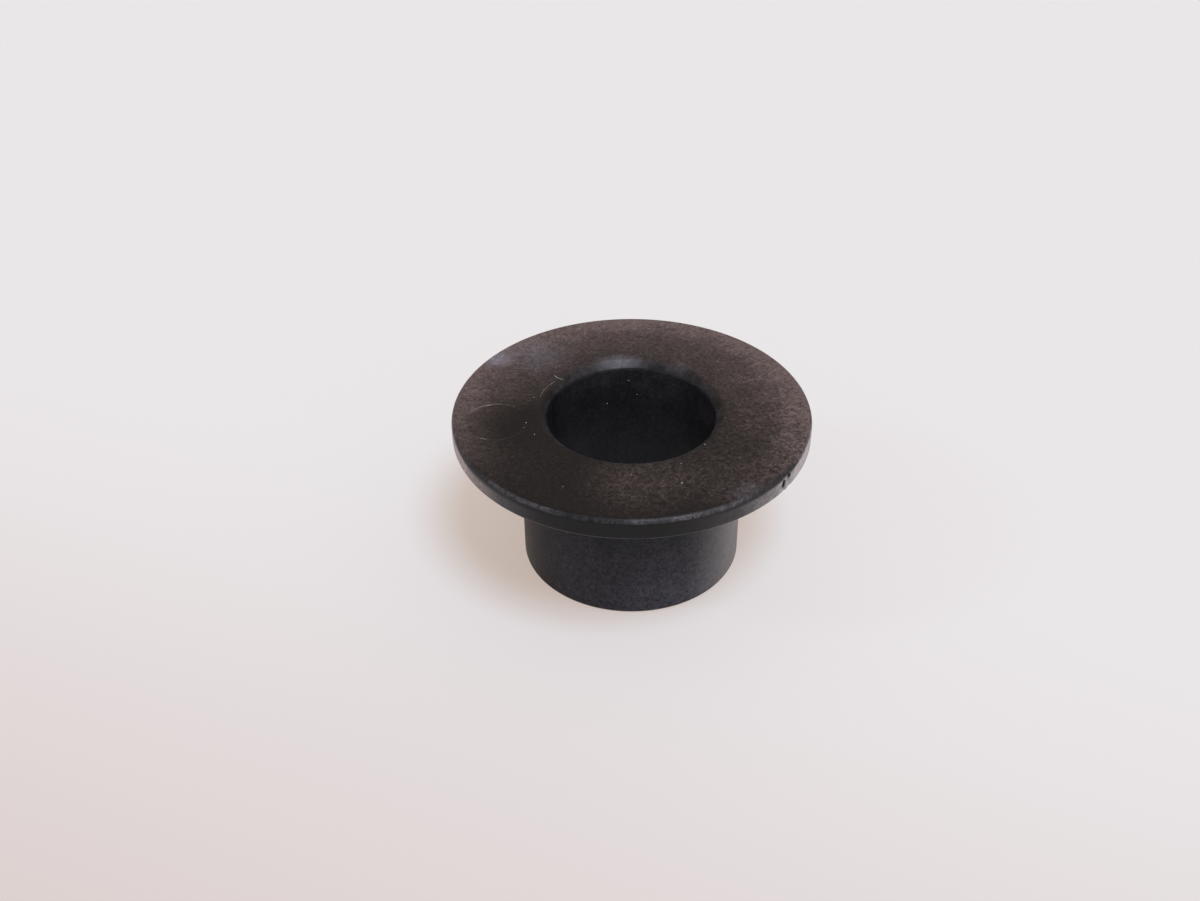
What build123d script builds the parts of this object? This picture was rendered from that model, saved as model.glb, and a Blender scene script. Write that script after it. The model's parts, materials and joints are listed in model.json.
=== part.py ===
from build123d import *
import os

# Slide washer: a flanged bush, moulded in one piece.
# The sleeve sits in a hole and has a shaft through its bore. The wide flange is the washer
# itself: its upper face is the one that the neighbouring part slides over.
# The piece stands on the end of its sleeve. The origin is on the bore's axis at that end,
# and +Z points from there up to the flange. Lengths are in millimetres. Azimuths are in
# degrees about +Z, counted from +X.

# The shaft, and the play it has in the bore
SHAFT_DIAMETER = 8.0
BORE_PLAY = 0.2

# Sleeve
SLEEVE_WALL = 1.4
SLEEVE_LEAD_RADIUS = 0.2    # outer corner of the end that enters the hole
BORE_LEAD_CHAMFER = 0.2     # inner corner of the same end
ROOT_RADIUS = 0.3           # where the sleeve meets the seat face

# Flange
FLANGE_DIAMETER = 17.5
FLANGE_THICKNESS = 1.1
SLIDE_EDGE_RADIUS = 0.3     # rim corner on the slide face
SEAT_EDGE_RADIUS = 0.17     # rim corner on the seat face, at the mould's parting line

# Mouth of the bore: a sloping lead-in with soft ends, so that nothing catches on it
MOUTH_WIDTH = 0.44
MOUTH_DEPTH = 0.36
MOUTH_TOP_RADIUS = 0.2      # where the slope meets the slide face
MOUTH_FOOT_RADIUS = 0.3     # where it meets the wall of the bore

# Seat face to the far end of the sleeve
SLEEVE_LENGTH = 7.3

# Prints of the ejector pins in the slide face
EJECTOR_PIN_DIAMETER = 3.0
EJECTOR_PRINT_DEPTH = 0.04
EJECTOR_PIN_COUNT = 2
EJECTOR_AZIMUTH = 10

# Scar on the rim where the gate was broken off
GATE_WIDTH = 0.8
GATE_SCAR_DEPTH = 0.08
GATE_AZIMUTH = -35

# Worked out from the sizes above
bore_radius = (SHAFT_DIAMETER + BORE_PLAY) / 2
sleeve_radius = bore_radius + SLEEVE_WALL
flange_radius = FLANGE_DIAMETER / 2
seat_height = SLEEVE_LENGTH
slide_height = seat_height + FLANGE_THICKNESS


def wall_section():
    """Section of the wall on one side of the axis, each corner with its rounding radius."""
    corners = [
        ((bore_radius, BORE_LEAD_CHAMFER), 0),
        ((bore_radius + BORE_LEAD_CHAMFER, 0), 0),
        ((sleeve_radius, 0), SLEEVE_LEAD_RADIUS),
        ((sleeve_radius, seat_height), ROOT_RADIUS),
        ((flange_radius, seat_height), SEAT_EDGE_RADIUS),
        ((flange_radius, slide_height), SLIDE_EDGE_RADIUS),
        ((bore_radius + MOUTH_WIDTH, slide_height), MOUTH_TOP_RADIUS),
        ((bore_radius, slide_height - MOUTH_DEPTH), MOUTH_FOOT_RADIUS),
    ]
    points = [point for point, radius in corners]
    radii = [radius for point, radius in corners]
    with BuildSketch(Plane.XZ) as section:
        with BuildLine():
            FilletPolyline(points, radius=radii, close=True)
        make_face()
    return section.sketch


def ejector_prints():
    """Shallow round prints in the slide face, midway from the bore's mouth to the rim."""
    pitch_radius = (bore_radius + MOUTH_WIDTH + flange_radius) / 2
    with BuildPart() as prints:
        with Locations((0, 0, slide_height)):
            with PolarLocations(pitch_radius, EJECTOR_PIN_COUNT, start_angle=EJECTOR_AZIMUTH):
                Cylinder(
                    EJECTOR_PIN_DIAMETER / 2,
                    EJECTOR_PRINT_DEPTH,
                    align=(Align.CENTER, Align.CENTER, Align.MAX),
                )
    return prints.part


def gate_scar():
    """Shallow nick across the whole height of the rim."""
    with BuildPart() as scar:
        with Locations(Location((0, 0, seat_height), (0, 0, GATE_AZIMUTH))):
            with Locations((flange_radius - GATE_SCAR_DEPTH, 0, 0)):
                Box(
                    2 * GATE_SCAR_DEPTH,
                    GATE_WIDTH,
                    FLANGE_THICKNESS,
                    align=(Align.MIN, Align.CENTER, Align.MIN),
                )
    return scar.part


def slide_washer():
    """The whole moulding: the section turned about the bore's axis, less its mould marks."""
    moulding = revolve(wall_section(), axis=Axis.Z)
    return moulding - ejector_prints() - gate_scar()


os.makedirs("parts", exist_ok=True)
export_step(slide_washer(), "parts/slide_washer.step")
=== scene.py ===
import json
import random
from math import cos, degrees, exp, hypot, pi, radians, sin, tan

import bmesh
import bpy
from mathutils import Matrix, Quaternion, Vector, geometry, noise


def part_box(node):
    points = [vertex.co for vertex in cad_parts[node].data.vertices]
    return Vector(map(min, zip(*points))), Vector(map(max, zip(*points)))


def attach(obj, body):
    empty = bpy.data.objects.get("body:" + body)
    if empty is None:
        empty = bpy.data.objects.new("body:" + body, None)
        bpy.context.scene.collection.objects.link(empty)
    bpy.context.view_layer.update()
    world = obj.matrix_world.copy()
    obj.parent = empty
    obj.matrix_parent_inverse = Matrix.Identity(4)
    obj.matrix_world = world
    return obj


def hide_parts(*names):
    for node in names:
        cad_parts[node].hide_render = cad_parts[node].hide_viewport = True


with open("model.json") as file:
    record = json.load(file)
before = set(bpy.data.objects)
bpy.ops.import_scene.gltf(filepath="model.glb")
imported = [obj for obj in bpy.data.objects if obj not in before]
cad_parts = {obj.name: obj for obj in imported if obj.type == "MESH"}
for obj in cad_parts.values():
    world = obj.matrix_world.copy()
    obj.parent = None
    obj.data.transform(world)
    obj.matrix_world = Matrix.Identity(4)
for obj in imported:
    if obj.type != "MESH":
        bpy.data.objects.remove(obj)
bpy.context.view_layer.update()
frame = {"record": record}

# Slide washer: the fine mesh of the moulding, its finishes, and a plain pale table to stand on.
# Sizes below are in millimetres and azimuths in degrees, as in the part. Meshes are in metres.

MM = 0.001


# ---------------------------------------------------------------- sizes

def mount(name):
    """One of the washer's interfaces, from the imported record."""
    return next(m for m in frame["record"]["mounts"] if m["name"] == name)


def round_axis(radius, azimuth):
    """The point at this distance from the bore's axis and at this azimuth."""
    a = radians(azimuth)
    return radius * cos(a), radius * sin(a)


box_low, box_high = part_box("slide_washer")
flange_radius = (box_high[0] - box_low[0]) / 2 / MM
slide_height = box_high[2] / MM
seat_height = mount("seat_face")["pos_m"][2] / MM
bore_radius = mount("bore")["dims"]["r_mm"]
sleeve_radius = mount("sleeve")["dims"]["r_mm"]

# Corners of the section. The bore's mouth is a sloping lead-in with soft ends.
MOUTH_WIDTH = 0.44
MOUTH_DEPTH = 0.36
MOUTH_TOP_RADIUS = 0.2
MOUTH_FOOT_RADIUS = 0.3
SLIDE_EDGE_RADIUS = 0.3
SEAT_EDGE_RADIUS = 0.17
ROOT_RADIUS = 0.3
SLEEVE_LEAD_RADIUS = 0.2
BORE_LEAD_CHAMFER = 0.2
flat_outer_radius = flange_radius - SLIDE_EDGE_RADIUS

# Prints of the two ejector pins in the slide face: azimuth, and how much of the face's paler
# tone, a painted reflection, each one shows. They lie as far out as the slide face's own mount.
EJECTOR_PIN_RADIUS = 1.5
EJECTOR_PRINT_DEPTH = 0.04
EJECTOR_PRINTS = ((10, 0.9), (190, 0.74))
print_pitch_radius = mount("slide_face")["pos_m"][1] / MM

# Scar of the gate on the rim
GATE_AZIMUTH = -35
GATE_WIDTH = 0.8
GATE_SCAR_DEPTH = 0.08

# Pits and stubs in the scar: offset along the rim, height, half width, half height, how proud
GATE_TEARS = (
    (-0.31, 7.73, 0.12, 0.17, -0.18),
    (0.17, 7.95, 0.08, 0.12, -0.16),
    (-0.11, 7.43, 0.10, 0.10, 0.07),
    (-0.11, 7.90, 0.08, 0.16, 0.04),
    (0.16, 7.48, 0.08, 0.12, -0.05),
)

# Fineness of the mesh
COLUMNS = 400               # round the whole washer
GATE_COLUMNS = 56           # more of them across the gate scar
RIM_ROWS = 22               # up the rim's wall
PRINT_STEPS = 112           # round an ejector print
PRINT_EDGE_STEPS = 6        # down its soft edge
FACE_RINGS = 16             # across the slide face
FACE_SPACING = 0.26         # between the points of one of those rings
PRINT_CLEARANCE = 0.12      # between those points and an ejector print


# ---------------------------------------------------------------- the moulding's mesh

def smooth_step(low, high, x):
    """0 below low, 1 above high and an even curve between them."""
    t = min(max((x - low) / (high - low), 0.0), 1.0)
    return t * t * (3 - 2 * t)


def rounded_corner(before, corner, after, radius, steps):
    """Points that round one corner of the section."""
    here, back, on = Vector(corner), Vector(before), Vector(after)
    inward, outward = (back - here).normalized(), (on - here).normalized()
    half = inward.angle(outward) / 2
    centre = here + (inward + outward).normalized() * radius / sin(half)
    start = here + inward * radius / tan(half) - centre
    end = here + outward * radius / tan(half) - centre
    sweep = start.angle(end)
    points = []
    for i in range(steps + 1):
        t = i / steps
        share = start * sin((1 - t) * sweep) + end * sin(t * sweep)
        points.append(tuple(centre + share / sin(sweep)))
    return points


def wall_section():
    """Section of the wall from the flat slide face, down the bore, and up round the rim to it."""
    middle = (print_pitch_radius, slide_height)
    parting_line = (flange_radius, seat_height)
    # Each corner with its rounding radius and the steps round it
    corners = [
        ((bore_radius + MOUTH_WIDTH, slide_height), MOUTH_TOP_RADIUS, 10),
        ((bore_radius, slide_height - MOUTH_DEPTH), MOUTH_FOOT_RADIUS, 10),
        ((bore_radius, BORE_LEAD_CHAMFER), 0, 0),
        ((bore_radius + BORE_LEAD_CHAMFER, 0), 0, 0),
        ((sleeve_radius, 0), SLEEVE_LEAD_RADIUS, 8),
        ((sleeve_radius, seat_height), ROOT_RADIUS, 8),
        (parting_line, SEAT_EDGE_RADIUS, 12),
        ((flange_radius, slide_height), SLIDE_EDGE_RADIUS, 14),
    ]
    places = [middle] + [corner for corner, radius, steps in corners] + [middle]
    points = []
    for k, (corner, radius, steps) in enumerate(corners):
        if radius:
            points += rounded_corner(places[k], corner, places[k + 2], radius, steps)
        else:
            points.append(corner)
        if corner == parting_line:
            low, high = points[-1][1], slide_height - SLIDE_EDGE_RADIUS
            rows = [low + (high - low) * i / RIM_ROWS for i in range(1, RIM_ROWS)]
            points += [(flange_radius, row) for row in rows]
    return points


def column_azimuths():
    """Azimuths of the mesh's columns, close together across the gate scar."""
    half = degrees(0.7 * GATE_WIDTH / flange_radius)
    start, end = GATE_AZIMUTH - half, GATE_AZIMUTH + half
    scar = [start + (end - start) * i / GATE_COLUMNS for i in range(GATE_COLUMNS)]
    rest = [end + (360 - 2 * half) * i / COLUMNS for i in range(COLUMNS)]
    return scar + rest


def scarred_radius(radius, height, azimuth):
    """Radius of a rim point after the gate was broken off it."""
    across = radians(azimuth - GATE_AZIMUTH) * flange_radius
    half = GATE_WIDTH / 2
    if abs(across) > 1.5 * half:
        return radius
    ragged = 0.05 * noise.noise(Vector((0, height * 6, 3.7)))
    inside = 1 - smooth_step(half - 0.08, half + 0.01, abs(across) + ragged)
    tear = noise.fractal(Vector((across * 11, height * 8, 1.3)), 1.0, 2.0, 4)
    change = -0.5 * GATE_SCAR_DEPTH * (1 + tear) * inside
    for offset, tear_height, half_width, half_height, proud in GATE_TEARS:
        far = ((across - offset) / half_width) ** 2 + ((height - tear_height) / half_height) ** 2
        change += proud * exp(-far)
    return radius + change


def moulded_point(radius, height, azimuth):
    """A point of the moulding in metres."""
    if radius > flange_radius - GATE_SCAR_DEPTH and height > seat_height:
        radius = scarred_radius(radius, height, azimuth)
    return Vector((*round_axis(radius, azimuth), height)) * MM


def print_section():
    """Step down into an ejector print, as radius from the pin's axis and depth."""
    steps = []
    for i in range(PRINT_EDGE_STEPS + 1):
        t = i / PRINT_EDGE_STEPS
        radius = EJECTOR_PIN_RADIUS + EJECTOR_PRINT_DEPTH * (0.5 - t)
        steps.append((radius, EJECTOR_PRINT_DEPTH * smooth_step(0, 1, t)))
    for share in (0.93, 0.75, 0.5, 0.25):
        steps.append((EJECTOR_PIN_RADIUS * share, EJECTOR_PRINT_DEPTH))
    return steps


def sink_print(bm, azimuth):
    """Adds one ejector print and returns its loop in the slide face and its middle."""
    x, y = round_axis(print_pitch_radius, azimuth)
    rings = []
    for radius, depth in print_section():
        ring = []
        for i in range(PRINT_STEPS):
            turn = 2 * pi * i / PRINT_STEPS
            spot = (x + radius * cos(turn), y + radius * sin(turn), slide_height - depth)
            ring.append(bm.verts.new(Vector(spot) * MM))
        rings.append(ring)
    for outer, inner in zip(rings, rings[1:]):
        for i in range(PRINT_STEPS):
            j = (i + 1) % PRINT_STEPS
            bm.faces.new((outer[i], outer[j], inner[j], inner[i]))
    centre = bm.verts.new(Vector((x, y, slide_height - EJECTOR_PRINT_DEPTH)) * MM)
    for i in range(PRINT_STEPS):
        bm.faces.new((rings[-1][i], rings[-1][(i + 1) % PRINT_STEPS], centre))
    return rings[0], (x, y)


def fill_slide_face(bm, inner_loop, outer_loop, prints):
    """Fills the flat ring of the slide face round its ejector prints."""
    loops = [inner_loop, outer_loop] + [loop for loop, middle in prints]
    verts = [v for loop in loops for v in loop]
    edges = []
    start = 0
    for loop in loops:
        count = len(loop)
        edges += [(start + i, start + (i + 1) % count) for i in range(count)]
        start += count
    clear = EJECTOR_PIN_RADIUS + PRINT_CLEARANCE
    flat_inner_radius = hypot(*inner_loop[0].co.xy) / MM
    for ring in range(1, FACE_RINGS):
        radius = flat_inner_radius + (flat_outer_radius - flat_inner_radius) * ring / FACE_RINGS
        count = int(2 * pi * radius / FACE_SPACING)
        for i in range(count):
            a = 2 * pi * (i + 0.5 * (ring % 2)) / count
            x, y = radius * cos(a), radius * sin(a)
            if all(hypot(x - mx, y - my) > clear for loop, (mx, my) in prints):
                verts.append(bm.verts.new(Vector((x, y, slide_height)) * MM))
    flat = [Vector((v.co.x / MM, v.co.y / MM)) for v in verts]
    made = geometry.delaunay_2d_cdt(flat, edges, [], 0, 1e-7)
    source = [origins[0] for origins in made[3]]
    holes = [set(inner_loop)] + [set(loop) for loop, middle in prints]
    for triangle in made[2]:
        corners = [verts[source[k]] for k in triangle]
        if not any(all(c in hole for c in corners) for hole in holes):
            bm.faces.new(corners)


def mark_sharp(bm, rings):
    """Keeps the crisp corners of the lead chamfer crisp."""
    for ring in rings:
        for i, vert in enumerate(ring):
            bm.edges.get((vert, ring[(i + 1) % len(ring)])).smooth = False


def is_flange(face):
    """Whether a face belongs to the flange, and not to the seat face, the sleeve or the bore."""
    middle = face.calc_center_median() / MM
    return middle.z > seat_height + 0.02 and hypot(middle.x, middle.y) > bore_radius + 0.05


def mesh_piece(bm, name):
    """A new object with the mesh that was built."""
    mesh = bpy.data.meshes.new(name)
    bm.to_mesh(mesh)
    bm.free()
    piece = bpy.data.objects.new(name, mesh)
    bpy.context.collection.objects.link(piece)
    return piece


def moulding():
    """The whole washer as one closed mesh."""
    bm = bmesh.new()
    azimuths = column_azimuths()
    section = wall_section()
    rings = [[bm.verts.new(moulded_point(r, z, a)) for a in azimuths] for r, z in section]
    for lower, upper in zip(rings, rings[1:]):
        for i in range(len(azimuths)):
            j = (i + 1) % len(azimuths)
            bm.faces.new((lower[i], lower[j], upper[j], upper[i]))
    prints = [sink_print(bm, azimuth) for azimuth, share in EJECTOR_PRINTS]
    fill_slide_face(bm, rings[0], rings[-1], prints)
    bmesh.ops.recalc_face_normals(bm, faces=bm.faces)
    for face in bm.faces:
        face.smooth = True
        face.material_index = 0 if is_flange(face) else 1
    reach = bore_radius + 2 * BORE_LEAD_CHAMFER
    chamfer = [k for k, (r, z) in enumerate(section) if z <= BORE_LEAD_CHAMFER and r < reach]
    mark_sharp(bm, [rings[k] for k in chamfer])
    return mesh_piece(bm, "washer_moulding")


# ---------------------------------------------------------------- dust and lint

# Loose grains on the slide face: radius, azimuth and size
DUST_GRAINS = (
    (6.4, -69, 0.10), (4.9, 169, 0.07), (5.2, -166, 0.07), (5.4, -162, 0.05), (5.1, -154, 0.06),
    (5.4, -90, 0.06), (7.0, -116, 0.05), (4.6, -10, 0.06), (6.7, -5, 0.05), (7.7, -3, 0.05),
    (4.57, -41, 0.07), (5.05, -63, 0.05),
)

# Grains on the wall of the bore: azimuth, height and size
BORE_GRAINS = ((92, 7.35, 0.09), (108, 6.05, 0.06), (86, 6.5, 0.05))

# Much finer grains on the slide face
FINE_GRAINS = 60
FINE_GRAIN_SIZES = (0.015, 0.03)

LINT_THICKNESS = 0.034
LINT_STEPS = 16
THREAD_SIDES = 6

# Short slivers left at the edge of an ejector print
SLIVERS = (
    ((-7.08, 0.17), (-6.96, 0.22), (-6.84, 0.25)),
    ((-7.12, -2.55), (-6.98, -2.62), (-6.83, -2.66)),
)


def add_grain(bm, place, size):
    """One irregular grain of dust."""
    made = bmesh.ops.create_icosphere(bm, subdivisions=2, radius=size / 2 * MM)["verts"]
    stretch = random.uniform(0.7, 1.4)
    turn = random.uniform(0, pi)
    own_lumps = Vector((place[0], place[1], size))
    for vert in made:
        x, y, z = vert.co
        lump = 1 + 0.5 * noise.noise(vert.co / (size * MM) * 1.7 + own_lumps)
        x, y = x * stretch, y / stretch
        turned = Vector((x * cos(turn) - y * sin(turn), x * sin(turn) + y * cos(turn), z * 0.5))
        vert.co = turned * lump + Vector(place) * MM


def dust_grains():
    """Grains of dust lying on the slide face and a few on the wall of the bore."""
    bm = bmesh.new()
    for radius, azimuth, size in DUST_GRAINS:
        add_grain(bm, (*round_axis(radius, azimuth), slide_height), size)
    for azimuth, height, size in BORE_GRAINS:
        add_grain(bm, (*round_axis(bore_radius - 0.01, azimuth), height), size)
    for i in range(FINE_GRAINS):
        # They gather in front and on the right, and some lie anywhere
        azimuth = random.choice((
            random.gauss(-80, 22),
            random.gauss(0, 45),
            random.uniform(-180, 180),
        ))
        radius = random.uniform(bore_radius + 0.7, flange_radius - 0.4)
        size = random.uniform(*FINE_GRAIN_SIZES)
        add_grain(bm, (*round_axis(radius, azimuth), slide_height), size)
    return mesh_piece(bm, "dust_grains")


def thread(bm, path, thickness):
    """A thin fibre of even thickness along a few points."""
    rings = []
    for k, point in enumerate(path):
        along = Vector(path[min(k + 1, len(path) - 1)]) - Vector(path[max(k - 1, 0)])
        side = Vector((0, 0, 1)).cross(along).normalized()
        up = along.cross(side).normalized()
        ring = []
        for i in range(THREAD_SIDES):
            a = 2 * pi * i / THREAD_SIDES
            out = (side * cos(a) + up * sin(a)) * thickness / 2
            ring.append(bm.verts.new((Vector(point) + out) * MM))
        rings.append(ring)
    for low, high in zip(rings, rings[1:]):
        for i in range(THREAD_SIDES):
            j = (i + 1) % THREAD_SIDES
            bm.faces.new((low[i], low[j], high[j], high[i]))
    bm.faces.new(rings[0][::-1])
    bm.faces.new(rings[-1])


def lint():
    """A short fibre over the bore's mouth, a finer one that follows it, and the slivers."""
    bm = bmesh.new()
    over_mouth = []
    along_mouth = []
    for i in range(LINT_STEPS + 1):
        t = i / LINT_STEPS
        x, y = round_axis(4.85 - 0.6 * t, 143.2 + 1.4 * sin(2.6 * t))
        over_mouth.append((x, y, slide_height + 0.01 + 0.03 * sin(pi * t)))
        x, y = round_axis(4.6 - 0.04 * t + 0.03 * sin(5 * t), 167 - 19 * t)
        along_mouth.append((x, y, slide_height + 0.004))
    thread(bm, over_mouth, LINT_THICKNESS)
    thread(bm, along_mouth, LINT_THICKNESS * 0.4)
    for sliver in SLIVERS:
        thread(bm, [(x, y, slide_height) for x, y in sliver], LINT_THICKNESS * 0.8)
    return mesh_piece(bm, "lint")


# ---------------------------------------------------------------- node building

class Nodes:
    """Shorthand for building one node tree."""

    def __init__(self, tree):
        self.tree = tree

    def add(self, kind, **settings):
        node = self.tree.nodes.new(kind)
        for name, value in settings.items():
            setattr(node, name, value)
        return node

    def join(self, source, target):
        self.tree.links.new(source, target)

    def feed(self, socket, value):
        """Links a socket, or sets a plain value, into an input."""
        if isinstance(value, bpy.types.NodeSocket):
            self.join(value, socket)
        else:
            socket.default_value = value

    def math(self, operation, a, b=0.0, c=0.0, clamp=False):
        node = self.add("ShaderNodeMath", operation=operation, use_clamp=clamp)
        for socket, value in zip(node.inputs, (a, b, c)):
            self.feed(socket, value)
        return node.outputs[0]

    def times(self, value, *factors):
        for factor in factors:
            value = self.math("MULTIPLY", value, factor)
        return value

    def plus(self, base, value, factor=1.0, clamp=False):
        """The base and this much of a value."""
        return self.math("MULTIPLY_ADD", value, factor, base, clamp)

    def minus(self, value, less):
        return self.math("SUBTRACT", value, less)

    def larger(self, a, b):
        return self.math("MAXIMUM", a, b)

    def step(self, value, low, high):
        """0 at low and 1 at high, smooth between."""
        node = self.add("ShaderNodeMapRange", interpolation_type="SMOOTHSTEP")
        self.join(value, node.inputs["Value"])
        node.inputs["From Min"].default_value = low
        node.inputs["From Max"].default_value = high
        return node.outputs["Result"]

    def ramp(self, value, low, high, at_low, at_high):
        """A straight clamped ramp."""
        node = self.add("ShaderNodeMapRange", clamp=True)
        self.join(value, node.inputs["Value"])
        for socket, number in zip(node.inputs[1:5], (low, high, at_low, at_high)):
            socket.default_value = number
        return node.outputs["Result"]

    def mix(self, share, a, b):
        """The first colour where the share is 0 and the second where it is 1."""
        node = self.add("ShaderNodeMix", data_type="RGBA", clamp_factor=True)
        self.feed(node.inputs["Factor"], share)
        self.feed(node.inputs[6], a)
        self.feed(node.inputs[7], b)
        return node.outputs[2]

    def scaled(self, vector, amount):
        """A place or a colour multiplied by one amount."""
        node = self.add("ShaderNodeVectorMath", operation="SCALE")
        self.join(vector, node.inputs[0])
        self.feed(node.inputs["Scale"], amount)
        return node.outputs[0]

    def measure(self, operation, place, vector):
        """One number from a varying place and a fixed vector."""
        node = self.add("ShaderNodeVectorMath", operation=operation)
        self.join(place, node.inputs[0])
        node.inputs[1].default_value = vector
        return node.outputs["Value"]

    def noise_texture(self, place, scale, detail, roughness=0.5):
        node = self.add("ShaderNodeTexNoise")
        self.join(place, node.inputs["Vector"])
        self.join(scale, node.inputs["Scale"])
        node.inputs["Detail"].default_value = detail
        node.inputs["Roughness"].default_value = roughness
        return node.outputs["Fac"]


# ---------------------------------------------------------------- effects shared by the finishes

def effect_group(name, sizes, results):
    """A new node group that puts out values for a place, by sizes with these defaults."""
    tree = bpy.data.node_groups.new(name, "ShaderNodeTree")
    tree.interface.new_socket("Place", in_out="INPUT", socket_type="NodeSocketVector")
    for label, default in sizes.items():
        socket = tree.interface.new_socket(label, in_out="INPUT", socket_type="NodeSocketFloat")
        socket.default_value = default
    for label in results:
        tree.interface.new_socket(label, in_out="OUTPUT", socket_type="NodeSocketFloat")
    nodes = Nodes(tree)
    return nodes, nodes.add("NodeGroupInput").outputs, nodes.add("NodeGroupOutput").inputs


def mould_grain_group():
    """Fine grain that the mould leaves, as a height."""
    nodes, given, out = effect_group("mould_grain", {"Size": 0.08}, ["Height"])
    scale = nodes.math("DIVIDE", 1.0, given["Size"])
    fine = nodes.noise_texture(given["Place"], scale, 3.0, 0.6)
    coarse = nodes.noise_texture(given["Place"], nodes.times(scale, 0.42), 2.0)
    nodes.join(nodes.plus(fine, coarse, 0.6), out["Height"])
    return nodes.tree


def rubbed_mottle_group():
    """Cloudy mottling of handled plastic, with a scatter of paler grains in it."""
    nodes, given, out = effect_group(
        "rubbed_mottle", {"Cloud Size": 1.2, "Grain Size": 0.12}, ["Clouds", "Grains"])
    scale = nodes.math("DIVIDE", 1.0, given["Cloud Size"])
    cloud = nodes.noise_texture(given["Place"], scale, 5.0, 0.62)
    nodes.join(nodes.step(cloud, 0.36, 0.66), out["Clouds"])
    cells = nodes.add("ShaderNodeTexVoronoi")
    nodes.join(given["Place"], cells.inputs["Vector"])
    nodes.join(nodes.math("DIVIDE", 1.0, given["Grain Size"]), cells.inputs["Scale"])
    dots = nodes.minus(1.0, nodes.step(cells.outputs["Distance"], 0.12, 0.5))
    picked = nodes.step(cells.outputs["Color"], 0.62, 0.9)
    nodes.join(nodes.times(dots, picked), out["Grains"])
    return nodes.tree


class Finish(Nodes):
    """A new material, with the place on the washer that its tones follow, in millimetres."""

    def __init__(self, name):
        self.material = bpy.data.materials.new(name)
        self.material.use_nodes = True
        super().__init__(self.material.node_tree)
        self.tree.nodes.clear()
        self.shader = self.add("ShaderNodeBsdfPrincipled")
        self.surface = self.add("ShaderNodeOutputMaterial").inputs["Surface"]
        self.join(self.shader.outputs[0], self.surface)

        where = self.add("ShaderNodeTexCoord")
        self.place = self.scaled(where.outputs["Object"], 1 / MM)
        parts = self.add("ShaderNodeSeparateXYZ")
        self.join(self.place, parts.inputs[0])
        x, y, self.height = parts.outputs
        self.away = self.math("SQRT", self.plus(self.times(x, x), y, y))

    def effect(self, tree, **sizes):
        """Places an effect group, with this material's own sizes."""
        node = self.add("ShaderNodeGroup", node_tree=tree)
        self.join(self.place, node.inputs["Place"])
        for name, size in sizes.items():
            node.inputs[name.replace("_", " ")].default_value = size
        return node.outputs

    def facing(self, azimuth):
        """1 on the side of the washer at this azimuth, 0 at right angles to it, -1 opposite."""
        along = self.measure("DOT_PRODUCT", self.place, (*round_axis(1, azimuth), 0))
        return self.math("DIVIDE", along, self.away)

    def side(self, azimuth, low, high):
        """A soft mask of one side, 0 at the low and 1 at the high value of facing."""
        return self.step(self.facing(azimuth), low, high)

    def distance(self, point):
        return self.measure("DISTANCE", self.place, point)

    def spot(self, point, reach):
        """A soft round mask about one point."""
        return self.minus(1.0, self.step(self.distance(point), 0.0, reach))

    def complete(self, tone, roughness, specular):
        """Feeds the shader and returns the material."""
        self.join(tone, self.shader.inputs["Base Color"])
        self.feed(self.shader.inputs["Roughness"], roughness)
        self.shader.inputs["Specular IOR Level"].default_value = specular
        return self.material


# The mould's grain: size, depth and strength, and the heights that its pits and peaks reach
GRAIN_SIZE = 0.11
GRAIN_DEPTH = 0.014
GRAIN_STRENGTH = 0.5
GRAIN_PITS = 0.55
GRAIN_PEAKS = 1.05


class Plastic(Finish):
    """A finish of moulded plastic, with the mould's grain and the mottling of handling."""

    def __init__(self, name, grain_tree, mottle_tree, cloud_size, speck_size):
        super().__init__(name)
        self.grain = self.effect(grain_tree, Size=GRAIN_SIZE)["Height"]
        mottle = self.effect(mottle_tree, Cloud_Size=cloud_size, Grain_Size=speck_size)
        self.clouds = mottle["Clouds"]
        self.specks = mottle["Grains"]
        bump = self.add("ShaderNodeBump")
        bump.inputs["Strength"].default_value = GRAIN_STRENGTH
        bump.inputs["Distance"].default_value = GRAIN_DEPTH * MM
        self.join(self.grain, bump.inputs["Height"])
        self.join(bump.outputs[0], self.shader.inputs["Normal"])

    def by_grain(self, at_pits, at_peaks):
        """An amount that follows the mould's grain."""
        return self.ramp(self.grain, GRAIN_PITS, GRAIN_PEAKS, at_pits, at_peaks)

    def by_clouds(self, at_low, at_high):
        """An amount that follows the cloudy mottling."""
        return self.ramp(self.clouds, 0, 1, at_low, at_high)


# ---------------------------------------------------------------- finish of the flange

# The slide face goes from black to a pale tone that is a painted reflection of the light, mottled
# like rubbed plastic.
FACE_BLACK = (0.0052, 0.0043, 0.0043, 1)
FACE_LIT_PALE = (0.119, 0.0872, 0.0852, 1)
FACE_SPECK = (0.26, 0.235, 0.23, 1)
# Tone of the painted highlight along the edges of the ejector prints
PRINT_RING = (0.2, 0.175, 0.16, 1)
BLUISH_SMEAR_HIGHLIGHT = (0.20, 0.19, 0.235, 1)
RIM_BLACK = (0.003, 0.003, 0.0038, 1)
# Both ends of the rim's wall are paler: partly scuffing and dulling, partly painted grazing
# reflection.
RIM_DULL_SHEEN = (0.048, 0.044, 0.047, 1)
RIM_SCUFF_SHEEN_RIGHT = (0.40, 0.365, 0.372, 1)
RIM_SCUFF_SHEEN_LEFT = (0.44, 0.346, 0.332, 1)
# Paler stretches of the slide face's corner: partly wear, partly painted highlight.
CORNER_WORN_LIT = (0.125, 0.12, 0.136, 1)
MOUTH_HANDLED = (0.032, 0.03, 0.034, 1)

# Places on the slide face that are paler or darker: centre, reach and strength
PALER_SPOTS = (
    ((0.3, -5.8), 3.4, 0.27),
    ((3.7, -5.4), 3.4, 0.13),
    ((8.0, 1.6), 3.0, 0.08),
    ((-5.2, -1.0), 3.2, -0.16),
    ((7.3, -3.8), 2.6, -0.12),
)
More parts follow.
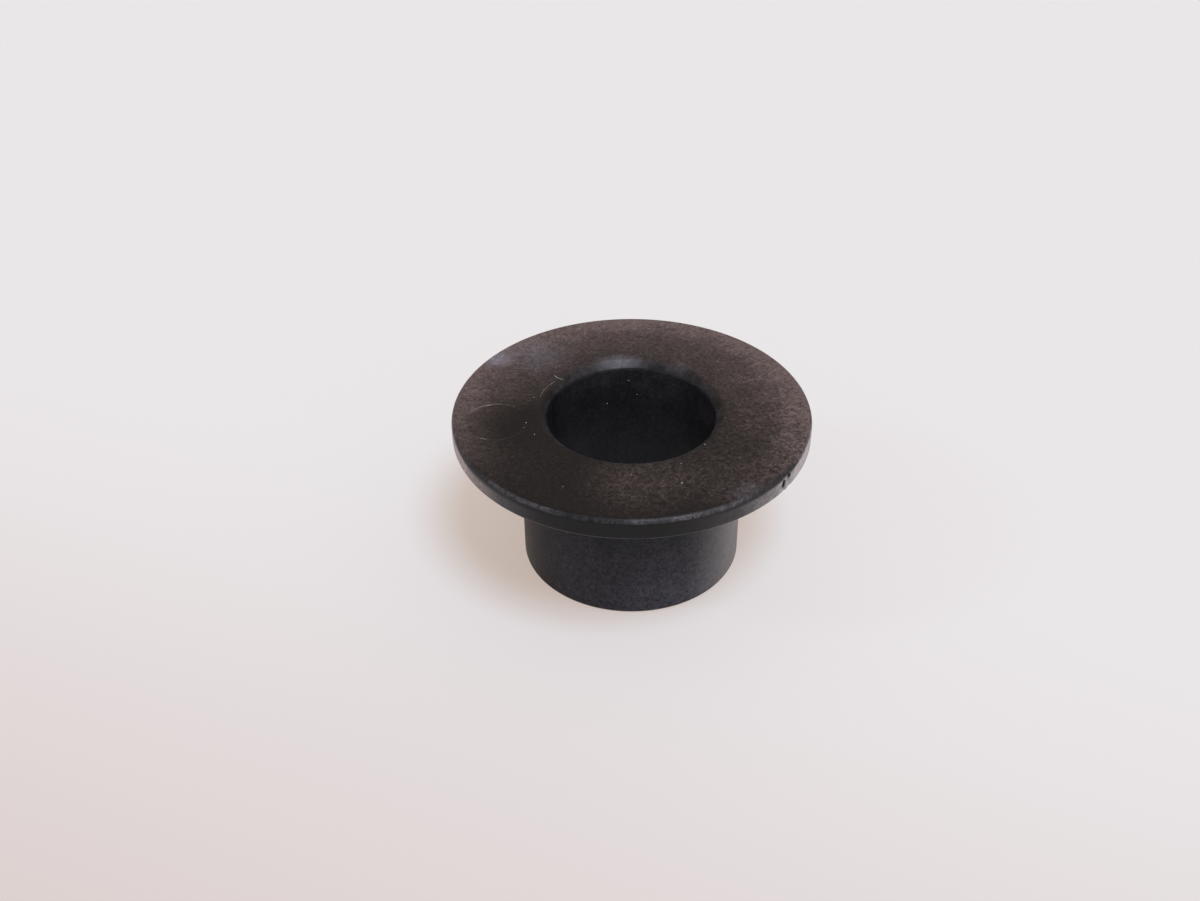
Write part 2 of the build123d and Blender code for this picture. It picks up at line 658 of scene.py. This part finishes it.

# Bluish paler patches: painted highlights on the bore's mouth and painted reflections on the
# slide face, with smears in them: centre, reach and strength
SMEARS_AND_HIGHLIGHTS = (
    ((-6.9, 4.5), 1.1, 0.74),
    ((-0.65, 4.3), 0.95, 0.42),
    ((0.1, 4.35), 0.7, 0.26),
    ((-1.45, 4.2), 0.7, 0.19),
    ((-4.9, 4.9), 2.3, 0.22),
    ((2.5, 3.75), 0.75, 0.12),
    ((5.35, -6.3), 0.6, 0.16),
    ((4.85, -6.75), 0.6, 0.12),
)

# Paler stretches of the slide face's corner, from wear and painted highlight: azimuth, the values
# of facing where it starts and is full, and strength
WORN_LIT_CORNERS = (
    (-123, 0.965, 0.995, 0.27),
    (-75, 0.93, 0.985, 0.22),
    (-50, 0.93, 0.985, 0.07),
)

# Pits in the gate scar, darkened with painted shade: turn from its middle, and height
GATE_PITS = ((-1.7, 7.67), (-1.6, 7.83), (1.3, 7.95))
GATE_PIT_INSET = 0.1
GATE_PIT_REACH = 0.3


def slide_face_tone(finish, grainy, cloudy, uneven):
    """Tone of the slide face: paler towards the rim and the back as a painted reflection of the
    light, mottled like rubbed plastic, and hardly paler at all on the front side.
    """
    away = finish.away
    turned = finish.facing(81)
    # Painted reflection: paler towards the rim and the back, where the light is mirrored; clouds,
    # grain and spots vary it.
    broad = finish.times(finish.step(turned, -1.0, 0.55), finish.ramp(away, 4.6, 8.6, 0.22, 0.72))
    outer = finish.times(finish.step(turned, -0.9, -0.2), finish.step(away, 6.5, 8.8))
    lit_paleness = finish.plus(broad, outer, 0.5)
    for centre, reach, strength in PALER_SPOTS:
        lit_paleness = finish.plus(lit_paleness, finish.spot((*centre, slide_height), reach), strength)
    lit_paleness = finish.times(lit_paleness, cloudy, finish.plus(1, grainy, uneven))
    lit_paleness = finish.plus(lit_paleness, grainy, 0.07, clamp=True)

    rings = 0.0
    for azimuth, share in EJECTOR_PRINTS:
        off = finish.distance((*round_axis(print_pitch_radius, azimuth), slide_height))
        beside = finish.step(off, EJECTOR_PIN_RADIUS - 0.08, EJECTOR_PIN_RADIUS)
        lit_paleness = finish.times(lit_paleness, finish.ramp(beside, 0, 1, share, 1))
        from_edge = finish.math("ABSOLUTE", finish.minus(off, EJECTOR_PIN_RADIUS))
        rings = finish.plus(rings, finish.step(from_edge, 0.05, 0.012))
    # Painted highlight along the print edges, where light catches the step.
    ring_highlights = finish.times(
        rings,
        finish.ramp(away, 5.4, 7.9, 0.05, 0.5),
        finish.ramp(finish.clouds, 0.25, 0.85, 0.1, 0.8),
    )
    specks = finish.times(finish.specks, finish.ramp(lit_paleness, 0.1, 0.9, 0.05, 0.5))
    tone = finish.mix(lit_paleness, FACE_BLACK, FACE_LIT_PALE)
    tone = finish.mix(specks, tone, FACE_SPECK)
    return finish.mix(ring_highlights, tone, PRINT_RING)


def rim_wall_tone(finish, grainy, flanks):
    """Tone of the rim's wall, pale at both ends from scuffing and painted grazing reflection, and
    dark in front.
    """
    leftward = finish.facing(180)
    outside = finish.step(finish.away, sleeve_radius, sleeve_radius + 1)
    left_rise = finish.ramp(leftward, 0.85, 0.99, 0, 0.26)
    right_rise = finish.ramp(leftward, -0.96, -0.83, 0.2, -0.03)
    top_edge = finish.plus(left_rise, right_rise)
    top_edge = finish.plus(top_edge, finish.step(leftward, 0.2, 0.5), -0.06)
    below = finish.minus(finish.height, top_edge)
    wall = finish.times(finish.step(below, slide_height - 0.2, slide_height - 0.42), outside)

    left, right = finish.step(leftward, 0.64, 0.97), finish.step(leftward, -0.52, -0.93)
    # Both ends paler: partly scuffing, partly painted grazing reflection.
    scuff_and_sheen = finish.times(
        finish.plus(left, right, 1.15),
        finish.side(-98, -0.15, 0.1),
        finish.by_clouds(0.6, 1.05),
        finish.by_grain(0.85, 1.15),
        wall,
    )
    left, right = finish.step(leftward, 0.4, 0.75), finish.step(leftward, -0.3, -0.7)
    dull_sheen = finish.times(finish.larger(left, right), wall)
    dull_sheen = finish.plus(dull_sheen, finish.times(flanks, outside), 0.22, clamp=True)
    # Painted shade darkens the pits in the gate scar.
    for turn, height in GATE_PITS:
        pit = (*round_axis(flange_radius - GATE_PIT_INSET, GATE_AZIMUTH + turn), height)
        pit_shade = finish.plus(finish.spot(pit, GATE_PIT_REACH), grainy, 0.3)
        clear = finish.step(pit_shade, 0.74, 0.15)
        scuff_and_sheen = finish.times(scuff_and_sheen, clear)
        dull_sheen = finish.times(dull_sheen, clear)
    tone = finish.mix(dull_sheen, RIM_BLACK, RIM_DULL_SHEEN)
    scuff_sheen_tone = finish.mix(finish.step(leftward, -0.2, 0.2), RIM_SCUFF_SHEEN_RIGHT, RIM_SCUFF_SHEEN_LEFT)
    return finish.mix(scuff_and_sheen, tone, scuff_sheen_tone)


def corner_wear_and_highlight(finish):
    """A mask of the slide face's rounded corner, and how much each stretch of it is paler from
    wear and painted highlight.
    """
    corner = finish.times(
        finish.step(finish.away, flat_outer_radius + 0.1, flat_outer_radius + 0.18),
        finish.step(finish.height, slide_height - 0.25, slide_height - 0.16),
    )
    wear_and_highlight = finish.by_clouds(0.03, 0.16)
    for azimuth, start, full, strength in WORN_LIT_CORNERS:
        wear_and_highlight = finish.plus(wear_and_highlight, finish.side(azimuth, start, full), strength)
    return corner, wear_and_highlight


def slide_face_mask(finish, flanks):
    """A mask of the slide face, which takes in its corner at the back of the washer."""
    rolled = finish.times(
        finish.side(90, -0.62, -0.4),
        finish.step(finish.height, slide_height - 0.22, slide_height - 0.06),
    )
    spread = finish.plus(finish.away, flanks, -0.08)
    outer_end = finish.step(spread, flat_outer_radius + 0.15, flat_outer_radius - 0.02)
    inner_end = finish.step(finish.away, bore_radius + 0.16, bore_radius + 0.5)
    return finish.times(inner_end, finish.larger(outer_end, rolled))


def flange_finish(grain_tree, mottle_tree):
    """Black plastic of the flange: its face paler towards the rim as a painted reflection mottled
    like rubbing, its edges satin with painted highlights and grazing reflection.
    """
    finish = Plastic("black_plastic_flange", grain_tree, mottle_tree, 1.1, 0.13)
    grainy = finish.by_grain(-0.7, 0.7)
    cloudy = finish.by_clouds(0.76, 1.12)
    uneven = finish.ramp(finish.facing(-62), 0, 0.9, 0.34, 1.15)
    flanks = finish.larger(finish.side(-45, 0.8, 0.95), finish.side(-150, 0.85, 0.97))
    face = slide_face_mask(finish, flanks)
    corner, wear_and_highlight = corner_wear_and_highlight(finish)
    mouth = finish.step(finish.away, bore_radius + 0.46, bore_radius + 0.3)

    # Paler corner: partly wear, partly painted highlight.
    worn_and_lit = finish.times(corner, wear_and_highlight, cloudy, finish.by_grain(0.3, 1.7))
    handled = finish.times(
        mouth, finish.ramp(finish.clouds, 0.2, 0.9, 0, 0.6), finish.by_grain(0.4, 1.6))
    edge_tone = finish.mix(worn_and_lit, rim_wall_tone(finish, grainy, flanks), CORNER_WORN_LIT)
    edge_tone = finish.mix(handled, edge_tone, MOUTH_HANDLED)
    tone = finish.mix(face, edge_tone, slide_face_tone(finish, grainy, cloudy, uneven))
    # Bluish painted highlights on the mouth and painted reflections on the face, with smears.
    for centre, reach, strength in SMEARS_AND_HIGHLIGHTS:
        smear_highlight = finish.times(finish.spot((*centre, slide_height), reach), strength)
        tone = finish.mix(smear_highlight, tone, BLUISH_SMEAR_HIGHLIGHT)
    tone = finish.scaled(tone, finish.by_grain(0.7, 1.3))

    unworn = finish.times(corner, finish.ramp(wear_and_highlight, 0.08, 0.3, 0.3, 0.04), uneven)
    rough = finish.plus(0.40, finish.clouds, 0.08)
    rough = finish.plus(rough, face, 0.1)
    rough = finish.plus(rough, unworn)
    rough = finish.plus(rough, mouth, 0.08)
    return finish.complete(tone, rough, specular=0.25)


# ---------------------------------------------------------------- finish of the sleeve and dust

SLEEVE_DARK = (0.0105, 0.0105, 0.013, 1)
SLEEVE_PALE = (0.0205, 0.02, 0.0245, 1)
SLEEVE_DUSTY_LIT = (0.088, 0.087, 0.112, 1)
SLEEVE_SPECK = (0.12, 0.12, 0.13, 1)
SLEEVE_SCUFF_SHEEN = (0.205, 0.198, 0.208, 1)
DUST_DARK = (0.16, 0.15, 0.145, 1)
DUST_PALE = (0.36, 0.35, 0.35, 1)


def sleeve_finish(grain_tree, mottle_tree):
    """Black plastic of the sleeve and bore: bluish black satin, paler along one flank from
    scuffing and painted grazing reflection, with painted light and shade.
    """
    finish = Plastic("black_plastic_sleeve", grain_tree, mottle_tree, 1.8, 0.12)
    height = finish.height
    outside = finish.step(finish.away, bore_radius + 0.5, bore_radius + 1.0)
    # Paler towards the bottom and the front right: dust, and painted light where the flange
    # doesn't shade the sleeve.
    dust_and_light = finish.times(
        finish.step(height, 6.0, 0.3),
        outside,
        finish.ramp(finish.facing(-40), 0.45, 0.9, 1.1, 2.4),
        0.16,
    )
    # Paler flank on the right: partly scuffing, partly painted grazing reflection.
    flank = finish.ramp(finish.facing(-5), 0.5, 0.93, 0, 1)
    scuff_and_sheen = finish.times(finish.math("POWER", flank, 2), outside, finish.by_grain(0.75, 1.15))
    speckle = finish.plus(1.02, finish.by_grain(-0.7, 0.7), finish.ramp(outside, 0, 1, 0.5, 1))

    tone = finish.mix(finish.times(finish.clouds, 0.8), SLEEVE_DARK, SLEEVE_PALE)
    tone = finish.mix(dust_and_light, tone, SLEEVE_DUSTY_LIT)
    tone = finish.mix(finish.times(finish.specks, 0.2), tone, SLEEVE_SPECK)
    tone = finish.scaled(tone, speckle)
    tone = finish.mix(scuff_and_sheen, tone, SLEEVE_SCUFF_SHEEN)

    # Outside, painted shade makes it darker under the flange and on the left. Inside, painted
    # light makes the bore paler on one side and darker on the other, near its top.
    shaded = finish.times(
        finish.ramp(height, 4.6, 7.0, 1, 0.6),
        finish.ramp(finish.facing(180), 0.55, 0.95, 1, 0.3),
    )
    lit_paleness = finish.ramp(finish.facing(55), -0.2, 0.8, -0.25, 0.5)
    lit_paleness = finish.plus(1, lit_paleness, finish.step(height, 5.8, 7.4))
    tone = finish.mix(outside, finish.scaled(tone, lit_paleness), finish.scaled(tone, shaded))
    return finish.complete(tone, finish.plus(0.4, finish.clouds, 0.08), specular=0.12)


def dust_finish(mottle_tree):
    """Pale grey household dust."""
    finish = Finish("pale_dust")
    mottle = finish.effect(mottle_tree, Cloud_Size=0.3, Grain_Size=0.05)
    tone = finish.mix(mottle["Clouds"], DUST_DARK, DUST_PALE)
    return finish.complete(tone, finish.ramp(mottle["Grains"], 0, 1, 0.7, 0.9), specular=0.3)


# ---------------------------------------------------------------- table, light and camera

TABLE_REACH = 2.0       # metres each way
CARD = (0.66, 0.79, 0.895, 1)
CARD_SHADED_CORNER = (0.53, 0.575, 0.60, 1)
CARD_TO_OTHER_RAYS = (0.80, 0.79, 0.79, 1)
GLOW = (1.0, 0.80, 0.68, 1)
GLOW_SHADED_CORNER = (0.85, 0.59, 0.50, 1)
GLOW_SHARE = 0.45       # of the table's paleness that doesn't depend on the lamps

ROOM_WARM = (0.56, 0.45, 0.385, 1)
ROOM_DIM = (0.2, 0.17, 0.15, 1)
HORIZON = (0.82, 0.80, 0.81, 1)

LENS = 41.02
VIEWPOINT = (0, -55.1, 45.8)
VIEW_AIM = (-1.55, 0, 5.85)
VIEW_ROLL = -0.77


def shown_rays(nodes):
    """1 for the rays that show the background: seen directly, mirrored or through something."""
    path = nodes.add("ShaderNodeLightPath").outputs
    mirrored = nodes.larger(path["Is Glossy Ray"], path["Is Transmission Ray"])
    return nodes.larger(path["Is Camera Ray"], mirrored)


def card_finish():
    """Pale card, a little darker and warmer towards one corner as painted shade, that partly
    glows.
    """
    finish = Finish("pale_card")
    along = finish.measure("DOT_PRODUCT", finish.place, (-0.35, -0.94, 0))
    # Painted shade towards one corner of the table.
    corner = finish.times(finish.step(along, -4, 46), finish.step(finish.away, 150, 60))
    shown = shown_rays(finish)
    tone = finish.mix(shown, CARD_TO_OTHER_RAYS, finish.mix(corner, CARD, CARD_SHADED_CORNER))
    glow = finish.add("ShaderNodeEmission")
    finish.join(finish.mix(corner, GLOW, GLOW_SHADED_CORNER), glow.inputs["Color"])
    both = finish.add("ShaderNodeMixShader")
    finish.join(finish.times(shown, GLOW_SHARE), both.inputs[0])
    finish.join(finish.shader.outputs[0], both.inputs[1])
    finish.join(glow.outputs[0], both.inputs[2])
    finish.join(both.outputs[0], finish.surface)
    return finish.complete(tone, 0.9, specular=0.0)


def pale_table():
    """A wide flat table."""
    reach = TABLE_REACH
    mesh = bpy.data.meshes.new("table")
    corners = [(-reach, -reach, 0), (reach, -reach, 0), (reach, reach, 0), (-reach, reach, 0)]
    mesh.from_pydata(corners, [], [(0, 1, 2, 3)])
    mesh.materials.append(card_finish())
    table = bpy.data.objects.new("table", mesh)
    bpy.context.collection.objects.link(table)


def soft_lamp(name, azimuth, elevation, distance, size, watts, colour):
    """A round soft lamp that looks at the washer. Azimuth 0 is on the viewer's side."""
    lamp = bpy.data.lights.new(name, "AREA")
    lamp.shape = "DISK"
    lamp.size = size
    lamp.energy = watts
    lamp.color = colour
    holder = bpy.data.objects.new(name, lamp)
    a, e = radians(azimuth), radians(elevation)
    back = Vector((sin(a) * cos(e), -cos(a) * cos(e), sin(e)))
    holder.location = back * distance + Vector((0, 0, slide_height * MM))
    holder.rotation_mode = "QUATERNION"
    holder.rotation_quaternion = (-back).to_track_quat("-Z", "Y")
    bpy.context.collection.objects.link(holder)


def room_light():
    """Warm light from all round, dim behind the washer, above a pale band at the horizon."""
    world = bpy.data.worlds.new("room")
    bpy.context.scene.world = world
    world.use_nodes = True
    nodes = Nodes(world.node_tree)
    toward = nodes.add("ShaderNodeTexCoord")
    parts = nodes.add("ShaderNodeSeparateXYZ")
    nodes.join(toward.outputs["Generated"], parts.inputs[0])
    x, y, z = parts.outputs
    dim = nodes.times(nodes.step(y, -0.1, 0.5), nodes.step(z, 0.52, 0.2))
    room = nodes.mix(dim, ROOM_WARM, ROOM_DIM)
    room = nodes.scaled(room, nodes.ramp(x, -1, 1, 0.75, 1.25))
    seen = nodes.mix(nodes.step(z, 0.2, 0.08), room, HORIZON)
    nodes.join(seen, world.node_tree.nodes["Background"].inputs["Color"])


def camera():
    """The viewpoint: nearly square on to the washer, from well above it."""
    data = bpy.data.cameras.new("camera")
    data.sensor_width = 36
    data.lens = LENS
    data.clip_start = 0.001
    data.clip_end = 10
    viewer = bpy.data.objects.new("camera", data)
    viewer.location = Vector(VIEWPOINT) * MM
    level = (Vector(VIEW_AIM) * MM - viewer.location).to_track_quat("-Z", "Y")
    viewer.rotation_mode = "QUATERNION"
    viewer.rotation_quaternion = level @ Quaternion((0, 0, 1), radians(VIEW_ROLL))
    bpy.context.collection.objects.link(viewer)
    bpy.context.scene.camera = viewer


# ---------------------------------------------------------------- the scene

random.seed(8)
grain_tree = mould_grain_group()
mottle_tree = rubbed_mottle_group()

washer = moulding()
washer.data.materials.append(flange_finish(grain_tree, mottle_tree))
washer.data.materials.append(sleeve_finish(grain_tree, mottle_tree))
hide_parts("slide_washer")
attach(washer, "root")

pale_dust = dust_finish(mottle_tree)
for piece in (dust_grains(), lint()):
    piece.data.materials.append(pale_dust)
    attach(piece, "root")

pale_table()
room_light()
soft_lamp("window", 29, 65, 6, 2.4, 244, (0.76, 0.88, 1.0))
soft_lamp("side_window", -78, 35, 6, 1.07, 32, (0.8, 0.9, 1.0))
camera()
bpy.context.scene.view_settings.view_transform = "Standard"
